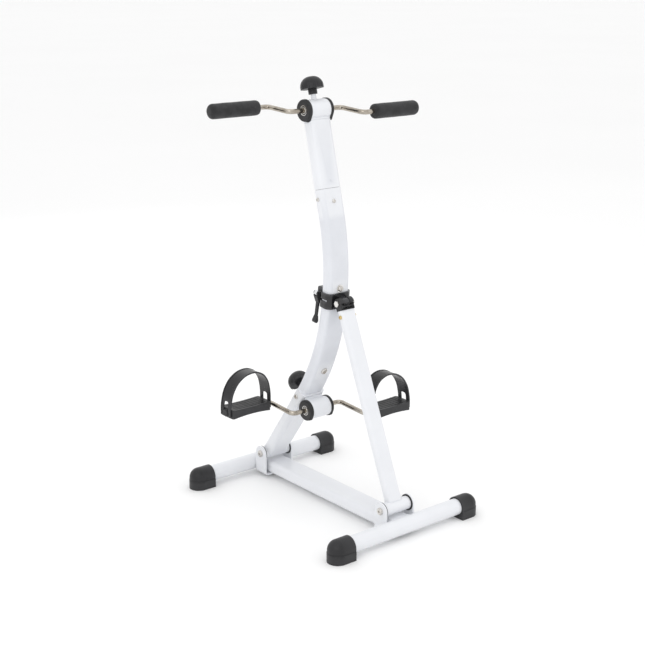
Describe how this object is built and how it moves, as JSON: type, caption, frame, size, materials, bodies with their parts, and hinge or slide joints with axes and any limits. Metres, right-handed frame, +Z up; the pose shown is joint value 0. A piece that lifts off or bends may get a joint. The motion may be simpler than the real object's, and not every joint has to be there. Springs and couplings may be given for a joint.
{
  "type": "pedal exerciser",
  "caption": "Free-standing pedal exerciser: a curved reclining mast carries a hand crank with foam grips above and a foot crank with strapped pedals below.",
  "frame": {"origin": "on the floor at the centre of the footprint", "axes": "+X across the machine along both crank axes, +Y to the rear where the mast is hinged, +Z up"},
  "size_m": [0.462, 0.5666, 0.9868],
  "materials": {
    "white_paint": "gloss powder coat",
    "black_plastic": "fine moulded texture",
    "gloss_black": "gloss",
    "plated_steel": "bright zinc plate",
    "crank_steel": "nickel plate",
    "chrome": "polished",
    "brass": "yellow zinc plate",
    "black_steel": "black oxide",
    "bare_steel": "bare",
    "nylon": "natural",
    "foam": "closed cell foam",
    "pedal_plastic": "moulded",
    "strap_plastic": "moulded",
    "pad_rubber": "matte"
  },
  "bodies": {
    "base": {"base_tube": "white_paint", "rear_stabiliser_tube": "white_paint", "front_stabiliser_tube": "white_paint", "rear_left_cap": "black_plastic", "rear_right_cap": "black_plastic", "front_left_cap": "black_plastic", "front_right_cap": "black_plastic", "rear_yoke": "white_paint", "front_yoke": "white_paint", "hinge_bolts": "plated_steel", "hinge_nuts": "plated_steel", "hinge_liners": "black_plastic", "yoke_screws": "black_steel"},
    "mast": {"mast_lower_tube": "white_paint", "mast_upper_tube": "white_paint", "mast_spigot": "bare_steel", "mast_joint_screws": "plated_steel", "mast_pivot_sleeve": "white_paint", "mast_pivot_bushes": "nylon", "hand_housing": "white_paint", "foot_housing": "white_paint", "hand_left_end_cap": "black_plastic", "hand_right_end_cap": "black_plastic", "foot_left_end_cap": "black_plastic", "foot_right_end_cap": "black_plastic", "crank_bearings": "plated_steel", "knob_bosses": "white_paint", "foot_saddle": "white_paint", "foot_saddle_screws": "plated_steel", "stop_bolts": "plated_steel", "stop_washer": "plated_steel"},
    "collar": {"collar_band": "gloss_black", "qr_skewer": "plated_steel", "qr_barrel": "chrome", "qr_nut": "plated_steel"},
    "lever": {"qr_lever": "black_plastic"},
    "strut": {"strut_tube": "white_paint", "strut_pivot_sleeve": "white_paint", "strut_pivot_bushes": "nylon", "strut_cap": "black_plastic", "strut_cap_bolt": "plated_steel", "strut_cap_nut": "plated_steel", "strut_cap_screws": "brass"},
    "hand_crank": {"hand_crank_rod": "crank_steel"},
    "left_grip": {"left_grip_sleeve": "black_plastic", "left_grip_foam": "foam"},
    "right_grip": {"right_grip_sleeve": "black_plastic", "right_grip_foam": "foam"},
    "foot_crank": {"foot_crank_rod": "crank_steel", "spindle_nuts": "black_plastic"},
    "left_pedal": {"left_pedal_body": "pedal_plastic", "left_pedal_strap": "strap_plastic"},
    "right_pedal": {"right_pedal_body": "pedal_plastic", "right_pedal_strap": "strap_plastic"},
    "hand_tension": {"hand_brake_pad": "pad_rubber"},
    "foot_tension": {"foot_brake_pad": "pad_rubber"},
    "hand_knob_unit": {"hand_knob": "black_plastic", "hand_knob_stem": "plated_steel"},
    "foot_knob_unit": {"foot_knob": "black_plastic", "foot_knob_stem": "plated_steel"}
  },
  "joints": [
    {"name": "mast_recline", "type": "hinge", "parent": "base", "child": "mast", "pos_m": [0, 0.217, 0.061], "axis": [-1, 0, 0], "range_deg": [0, 19.5]},
    {"name": "collar_slide", "type": "hinge", "parent": "mast", "child": "collar", "pos_m": [0, 0.51221, 0.55978], "axis": [1, 0, 0], "range_deg": [0, 16.3]},
    {"name": "strut_follow", "type": "hinge", "parent": "base", "child": "strut", "pos_m": [0, -0.226, 0.061], "axis": [-1, 0, 0], "range_deg": [0, 21.7]},
    {"name": "lever_open", "type": "hinge", "parent": "collar", "child": "lever", "pos_m": [-0.033, 0.00743, 0.51119], "axis": [0, 0.9932, 0.1164], "range_deg": [0, 150]},
    {"name": "hand_crank_spin", "type": "hinge", "parent": "mast", "child": "hand_crank", "pos_m": [0, 0.05231, 0.91431], "axis": [1, 0, 0], "continuous": true},
    {"name": "foot_crank_spin", "type": "hinge", "parent": "mast", "child": "foot_crank", "pos_m": [0, 0.05012, 0.21787], "axis": [1, 0, 0], "continuous": true},
    {"name": "left_grip_spin", "type": "hinge", "parent": "hand_crank", "child": "left_grip", "pos_m": [-0.15, 0.12917, 0.91901], "axis": [1, 0, 0], "continuous": true},
    {"name": "left_pedal_spin", "type": "hinge", "parent": "foot_crank", "child": "left_pedal", "pos_m": [-0.138, 0.14195, 0.22349], "axis": [1, 0, 0], "continuous": true},
    {"name": "right_grip_spin", "type": "hinge", "parent": "hand_crank", "child": "right_grip", "pos_m": [0.15, -0.02454, 0.90961], "axis": [1, 0, 0], "continuous": true},
    {"name": "right_pedal_spin", "type": "hinge", "parent": "foot_crank", "child": "right_pedal", "pos_m": [0.138, -0.04171, 0.21226], "axis": [1, 0, 0], "continuous": true},
    {"name": "hand_tension_travel", "type": "slide", "parent": "mast", "child": "hand_tension", "axis": [0, 0.2419, 0.9703], "range_m": [0, 0.0063]},
    {"name": "hand_knob_turn", "type": "hinge", "parent": "hand_tension", "child": "hand_knob_unit", "pos_m": [0, 0.05231, 0.91431], "axis": [0, 0.2419, 0.9703], "range_deg": [0, 1800]},
    {"name": "foot_tension_travel", "type": "slide", "parent": "mast", "child": "foot_tension", "axis": [0, 0.809, 0.5878], "range_m": [0, 0.0063]},
    {"name": "foot_knob_turn", "type": "hinge", "parent": "foot_tension", "child": "foot_knob_unit", "pos_m": [0, 0.05012, 0.21787], "axis": [0, 0.809, 0.5878], "range_deg": [0, 1800]}
  ],
  "couplings": [
    {"joint": "collar_slide", "follows": "mast_recline", "ratio": 0.83396},
    {"joint": "strut_follow", "follows": "mast_recline", "ratio": 1.1096},
    {"joint": "hand_tension_travel", "follows": "hand_knob_turn", "m_per_rad": 0.00019894},
    {"joint": "foot_tension_travel", "follows": "foot_knob_turn", "m_per_rad": 0.00019894}
  ]
}
